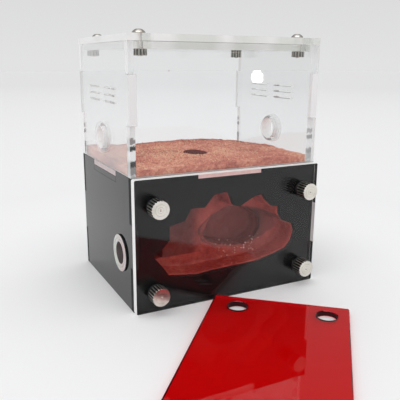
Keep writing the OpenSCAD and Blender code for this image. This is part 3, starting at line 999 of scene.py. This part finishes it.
def makeLidNuts():
    # a knurled ring with chamfered ends
    n = lidNut
    bore, radius, high, chamfer = n["bore"], n["radius"], n["height"], n["chamfer"]
    rows = [
        (bore, 0.1), (bore + 0.15, 0), (radius - chamfer, 0), (radius, chamfer), (radius, chamfer + 0.1),
        (radius, high - chamfer - 0.1), (radius, high - chamfer), (radius - chamfer, high),
        (bore + 0.15, high), (bore, high - 0.1), (bore, 0.1),
    ]
    places = [(x, y, n["seat"]) for x, y in lidBolts]
    nuts = makeTurned(
        "lidNuts", places, upward, rows, 144, "darkNickel", "lid", "nickel",
        "lid_nuts", knurlRipple(n["ridges"], n["depth"], [3, 4, 5, 6]), 25,
    )
    markKnurl(nuts, places, upward, radius, n["markDepth"], (0.1, high - 0.1))


makeLidScrews()
makeLidNuts()
print("lid screws and nuts are turned")

# port bushings

leftward, rightward = (-1, 0, 0), (1, 0, 0)
ports = {
    "nestPortRing": {
        "node": "nest_port_bushing", "at": (-55, -24.5, 27), "toward": leftward, "flange": 10.0,
        "thick": 1.0, "sleeve": 4.0, "kind": "frostedRing", "inside": "boreShade",
    },
    "arenaPortLeft": {
        "node": "arena_left_bushing", "at": (-55, 0, 85), "toward": leftward, "flange": 8.5,
        "thick": 2.0, "sleeve": 5.0, "kind": "faintRing", "inside": "brightBore",
    },
    "arenaPortRight": {
        "node": "arena_right_bushing", "at": (55, 0, 85), "toward": rightward, "flange": 8.5,
        "thick": 2.0, "sleeve": 5.0, "kind": "faintRing", "inside": "brightBore",
    },
}
portBore, portSleeve = 6.0, 7.5  # radii


def makePort(name, node, at, toward, flange, thick, sleeve, kind, inside):
    # flange with a rounded rim outside the wall, sleeve through it, a small lip in the bore
    bore, outer, end, cut = portBore, portSleeve, -sleeve, thick - 0.45
    rows = [(bore, end + 0.2), (bore + 0.2, end), (outer - 0.2, end), (outer, 0.2 + end), (outer, 0.0)]
    rows += [(flange - 0.1, 0.0), (flange, 0.1), (flange, cut)]
    rows += [(flange - 0.45 + 0.45 * cos(t), cut + 0.45 * sin(t)) for t in np.linspace(0.3, pi / 2, 4)]
    rows += [(outer + 0.6, thick), (outer + 0.4, thick - 0.25), (outer + 0.05, thick - 0.25)]
    rows += [(outer - 0.15, thick), (bore + 0.35, thick), (bore, thick - 0.35), (bore, end + 0.2)]
    ring = makeTurned(
        name, [at], toward, rows, 128, kind, "nest", "frosted_acrylic", node, None, 25
    )
    away = np.array([p.center for p in ring.data.polygons]) / mm - at
    radius, height = np.hypot(away[:, 1], away[:, 2]), away @ toward
    index = np.where(radius < bore + 0.1, 1, 0)
    ring.data.materials.append(finish[inside])
    if kind == "frostedRing":
        # its polished rim takes the black panel's finish, a painted reflection of the black panel behind
        # it
        ring.data.materials.append(finish["blackPanel"])
        index[(radius > flange - 0.35) & (height < thick - 0.2)] = 2
    ring.data.polygons.foreach_set("material_index", index)


for name, values in ports.items():
    makePort(name, **values)
print("port bushings are turned")

# carved plaster

carving = {
    "voxel": 0.75,
    "seed": 7,
    "lump": 5.0,  # size of the lumps, and how far they move the surface
    "height": 0.55,
    "front": (-38.6, 1.5),  # y where the lumps begin, and how soon they are full
    "slope": 5.0,  # how far the floor falls towards the pit from the right
    "slopeAcross": (26, 16),  # x where it begins, and its length
    "slopeMiddle": (31, 13),  # z of its middle, and half its height
    "slopeDeep": (-31, 3),
    "pit": (-25.5, 3),  # y where the painted shade in the pit begins, and how soon it is full
    "darkening": (14.0, 33.0),  # centre of the darker patch in x, z
    "darkeningSize": (26.0, 11.5),
    "shadedRim": (0.985, 0.03),  # the painted shaded rim's reach from the centre, and its width
    "crumbs": 46,
    "crumbBed": ((-3.0, 30.0), (13.0, 26.5)),
    "crumbSize": (0.35, 0.75),
    "crumbLift": 0.25,
}


def plasterLift(x, y, z, place):
    # millimetres of noise, more where the carving is deeper
    inside = (y > carving["front"][0]) & (y < -6) & (np.abs(x) < 47) & (z > 12) & (z < 60)
    bumps = lumpNoise(place, carving["lump"], carving["seed"])
    return bumps * rise(y, *carving["front"]) * inside * carving["height"]


def plasterSlope(x, y, z):
    # 1 where the chamber's floor lies lowest beside the pit, 0 off the slope
    middle, half = carving["slopeMiddle"]
    across = 1 - rise(x, *carving["slopeAcross"])
    height = np.clip(1 - ((z - middle) / half) ** 2, 0, 1)
    return across**1.5 * height * rise(y, *carving["slopeDeep"]) * (y < -26) * (x > 20) * (x < 42)


def plasterTint(x, y, z, place, slope):
    # pit and plainTone, as the material reads them: pit is painted shade deep in the carving and on the
    # slope beside the pit, and marks the darker patch, an ellipse in x, z that fades to the right;
    # plainTone holds painted shade along the patch's crisp left rim and beside the pit's right rim, and
    # darkens the plaster to the left and towards the bottom
    c = carving
    begin, over = c["pit"]
    # painted shade deep in the carving
    deep = np.clip((y - begin + 3 * lumpNoise(place, 6, 40)) / over, 0, 1) * (y < -5)
    reach = np.hypot((x - c["darkening"][0]) / c["darkeningSize"][0], (z - c["darkening"][1]) / c["darkeningSize"][1])
    reach = reach + 0.04 * lumpNoise(place, 5, 41)
    patch = rise(reach, 1, -0.04) * np.clip((60 - x) / 30, 0.5, 1) * (y < -5)
    pit = np.clip(np.maximum(np.maximum(deep, slope * 0.9), patch), 0, 1)
    # painted shade along the patch's crisp left rim
    rim, width = c["shadedRim"]
    rimShade = np.clip(1 - np.abs(reach - rim) / width, 0, 1) * rise(x, 6, -8)
    # painted shade on the plaster beside the pit's right rim
    beside = patch * (1 - deep) * rise(x, 46, -18) * rise(x, 16, 8)
    # darker to the left and towards the bottom, and darkened by the painted shade of the rim and beside
    # the pit
    plainTone = (1 - 0.62 * rise(x, -8, -8) * (z > 22)) * (1 - 0.75 * rimShade)
    return pit, plainTone * (1 - 0.18 * rise(z, 26, -8)) * (1 - 0.5 * beside)


def makePlasterBlock():
    # the CAD block in even voxels, then every point inside the carving moves along its
    # normal, and the floor beside the pit moves back
    rough = written(welded(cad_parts["plaster_nest"].data), bpy.data.meshes.new("carvedPlaster"))
    obj = newObject("carvedPlaster", rough)
    remesh = obj.modifiers.new("voxels", "REMESH")
    remesh.mode, remesh.voxel_size = "VOXEL", carving["voxel"] * mm
    dg = bpy.context.evaluated_depsgraph_get()
    fine = bpy.data.meshes.new_from_object(obj.evaluated_get(dg))
    obj.modifiers.clear()
    obj.data = fine
    fine.name = "carvedPlaster"
    place, normal = readPoints(fine), readPoints(fine, "normal")
    x, y, z = (place / mm).T
    place += normal * (plasterLift(x, y, z, place / mm) * mm)[:, None]
    slope = plasterSlope(x, y, z)
    place[:, 1] += slope * carving["slope"] * mm
    pit, plainTone = plasterTint(x, y, z, place / mm, slope)
    writeMark(fine, "pit", pit)
    writeMark(fine, "plainTone", plainTone)
    fine.vertices.foreach_set("co", place.ravel())
    fine.materials.clear()
    fine.materials.append(finish["dampPlaster"])
    fine.update()
    shadeFaces(fine)
    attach(obj, "nest")
    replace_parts(obj, "plaster_nest")
    return obj


def pebbles(rng, places, low, high):
    # a six-pointed pebble at each place, stretched and turned at random
    count = len(places)
    base = np.array([(1, 0, 0), (-1, 0, 0), (0, 1, 0), (0, -1, 0), (0, 0, 1), (0, 0, -1)], float)
    sides = [(0, 2, 4), (2, 1, 4), (1, 3, 4), (3, 0, 4), (2, 0, 5), (1, 2, 5), (3, 1, 5), (0, 3, 5)]
    size = rng.uniform(low, high, (count, 1, 1)) * rng.uniform(0.6, 1.2, (count, 1, 3))
    turn, _ = np.linalg.qr(rng.normal(size=(count, 3, 3)))
    turn *= np.sign(np.linalg.det(turn))[:, None, None]
    points = np.einsum("nij,npj->npi", turn, base * size) + np.asarray(places)[:, None]
    faces = np.arange(count)[:, None, None] * 6 + np.array(sides)
    return points.reshape(-1, 3) * mm, faces.reshape(-1, 3).tolist()


def addGrains(name, rng, places, size, material, slot, tones=None):
    # a piece of loose grains, each with its own tone, which is random unless given
    points, faces = pebbles(rng, places, *size)
    obj = addPiece(name, points, faces, material, "nest", slot, False)
    tones = rng.random(len(places)) if tones is None else tones
    writeMark(obj.data, "grainTone", np.repeat(tones, 6))


def makeGlintCrumbs(block):
    # pale crumbs on the slope below the pit, seated on the carved surface: painted glints, their pale tone
    # stands in for glints on the wet plaster
    place, normal = readPoints(block.data) / mm, readPoints(block.data, "normal")
    (left, right), (low, high) = carving["crumbBed"]
    x, y, z = place.T
    bed = (x > left) & (x < right) & (z > low) & (z < high) & (y > -38) & (y < -18)
    rng = np.random.default_rng(carving["seed"])
    chosen = rng.choice(np.flatnonzero(bed & (normal[:, 1] < -0.2)), carving["crumbs"], replace=False)
    seats = place[chosen] + normal[chosen] * carving["crumbLift"]
    addGrains("glintCrumbs", rng, seats, carving["crumbSize"], "glintCrumb", "carved_plaster")


makeGlintCrumbs(makePlasterBlock())
print("plaster is carved")

# sand

sand = {
    "base": 70,
    "half": (50.9, 37.9),
    "hole": 7.0,
    "front": 3.6,
    "back": 5.0,
    "tilt": 0.09,  # rise per mm towards the back, beside the hole
    "sunk": 0.7,  # how much lower the bed lies beside the hole
    "least": 0.4,
    "most": 6.2,
    "drift": (0.5, 30),  # height and size
    "lumps": (0.28, 3.2),
    "lowCorner": ((50, 36), (16, 22)),  # centre and reach
    "lowCornerDeep": 2.4,
    "around": 480,
    "out": 110,
    "seed": 21,
    "grains": 1900,
    "grainBed": (50, 37),
    "grainSize": (0.22, 0.5),
    "tanGrains": 1100,
    "tanCentre": (-18.0, -6.0),
    "tanSpread": (20.0, 15.0),
    "specks": ((0.3, 119.0), (23.9, 86.9), (-22.0, 104.0)),  # x, z on the back wall
    "speckSize": (0.3, 0.45),
}
# painted shade along the back, towards the right and in the right back corner; leftSpot is a darker spot
# beside the left wall
sandDarkening = {
    "back": 0.5,
    "right": 0.1,
    "corner": (0.35, (46, 30), (10, 14)),  # strength, centre and reach
    "leftSpot": (0.45, (-50, -10), (2.2, 9)),
}


def sandHeight(x, y):
    # a slope up to the back, broad drifts and small lumps, lower at the right back
    # corner, and level round the entrance hole with a crumbled edge
    points = np.stack([x, y, np.zeros_like(x)], -1).reshape(-1, 3)
    (deep, broad), (high, small) = sand["drift"], sand["lumps"]
    slope = sand["front"] + (sand["back"] - sand["front"]) * (y + 38) / 76
    drift = deep * lumpNoise(points, broad, sand["seed"]).reshape(x.shape)
    lumps = high * lumpNoise(points, small, sand["seed"] + 5).reshape(x.shape)
    corner = sand["lowCornerDeep"] * mound(x, y, *sand["lowCorner"])
    away = np.hypot(x, y) - sand["hole"]
    level = (sand["front"] + sand["back"]) / 2 - sand["sunk"] + sand["tilt"] * y
    near = np.clip(1 - away / 9, 0, 1)
    height = (slope + drift + lumps - corner) * (1 - near) + (level + 0.3 * lumps) * near
    return height - 0.5 * (1 - rise(away, 0, 0.9)) ** 2


def sandTop(x, y):
    # the bed's surface, kept between its least and its most height over the floor plate
    return sand["base"] + np.clip(sandHeight(x, y), sand["least"], sand["most"])


def sandDarkeningShare(x, y, z):
    # 1 on the hole's wall, and part way along the back wall, towards the right and in the right back
    # corner, all painted shade; and on a darker spot beside the left wall
    back = sandDarkening["back"] * rise(y, 27, 8)
    right = sandDarkening["right"] * rise(x, 5, 20)
    corner, leftSpot = (sandDarkening[key][0] * mound(x, y, *sandDarkening[key][1:]) for key in ("corner", "leftSpot"))
    wall = (np.hypot(x, y) < sand["hole"] + 0.02) & (z < sand["base"] + sandHeight(x, y) - 0.15)
    return np.where(wall, 1.0, np.clip(np.maximum(back, corner) + right + leftSpot, 0, 1))


def makeSandBed():
    # rings from the hole's circle to the walls' rectangle, then down and back underneath
    turn = np.linspace(0, 2 * pi, sand["around"], endpoint=False)
    wide, long = sand["half"]
    reach = 1 / np.maximum(np.abs(np.cos(turn)) / wide, np.abs(np.sin(turn)) / long)
    share = np.linspace(0, 1, sand["out"])[:, None] ** 0.85
    radius = sand["hole"] + (reach - sand["hole"]) * share
    x, y = radius * np.cos(turn), radius * np.sin(turn)
    top = np.stack([x, y, sandTop(x, y)], -1)
    under = np.full_like(turn, sand["base"] + 0.03)
    rims = [np.stack([x[i], y[i], under], -1)[None] for i in (-1, 0)]
    points = np.concatenate([top, *rims, top[:1] - (0, 0, 0.2), top[:1]])
    faces = gridFaces(len(points), len(turn))
    obj = addPiece("sandBed", points.reshape(-1, 3) * mm, faces, "claySand", "nest", "clay_sand")
    outward(obj, 50)
    writeMark(obj.data, "darkening", sandDarkeningShare(*(readPoints(obj.data) / mm).T))
    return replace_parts(obj, "sand_bed")


def makeGrains():
    # grains all over the bed, more of the tan ones left of the hole, and a few that stick
    # to the back wall
    rng = np.random.default_rng(sand["seed"])
    even, tan = sand["grains"], sand["tanGrains"]
    x, y = (
        np.concatenate([rng.uniform(-half, half, even), rng.normal(centre, reach, tan)])
        for half, centre, reach in zip(sand["grainBed"], sand["tanCentre"], sand["tanSpread"])
    )
    tones = np.concatenate([rng.random(even), rng.uniform(0.5, 1.0, tan)])
    wide, long = sand["grainBed"]
    keep = (np.hypot(x, y) > sand["hole"] + 0.8) & (np.abs(x) < wide) & (np.abs(y) < long)
    x, y, tones = x[keep], y[keep], tones[keep]
    places = np.stack([x, y, sandTop(x, y) + 0.06], -1)
    addGrains("sandGrains", rng, places, sand["grainSize"], "looseGrain", "clay_sand", tones)
    specks = [(x, 37.75, z) for x, z in sand["specks"]]
    dark = np.zeros(len(specks))
    addGrains("stuckGrains", rng, specks, sand["speckSize"], "looseGrain", "clay_sand", dark)


makeSandBed()
makeGrains()
print("sand is laid")
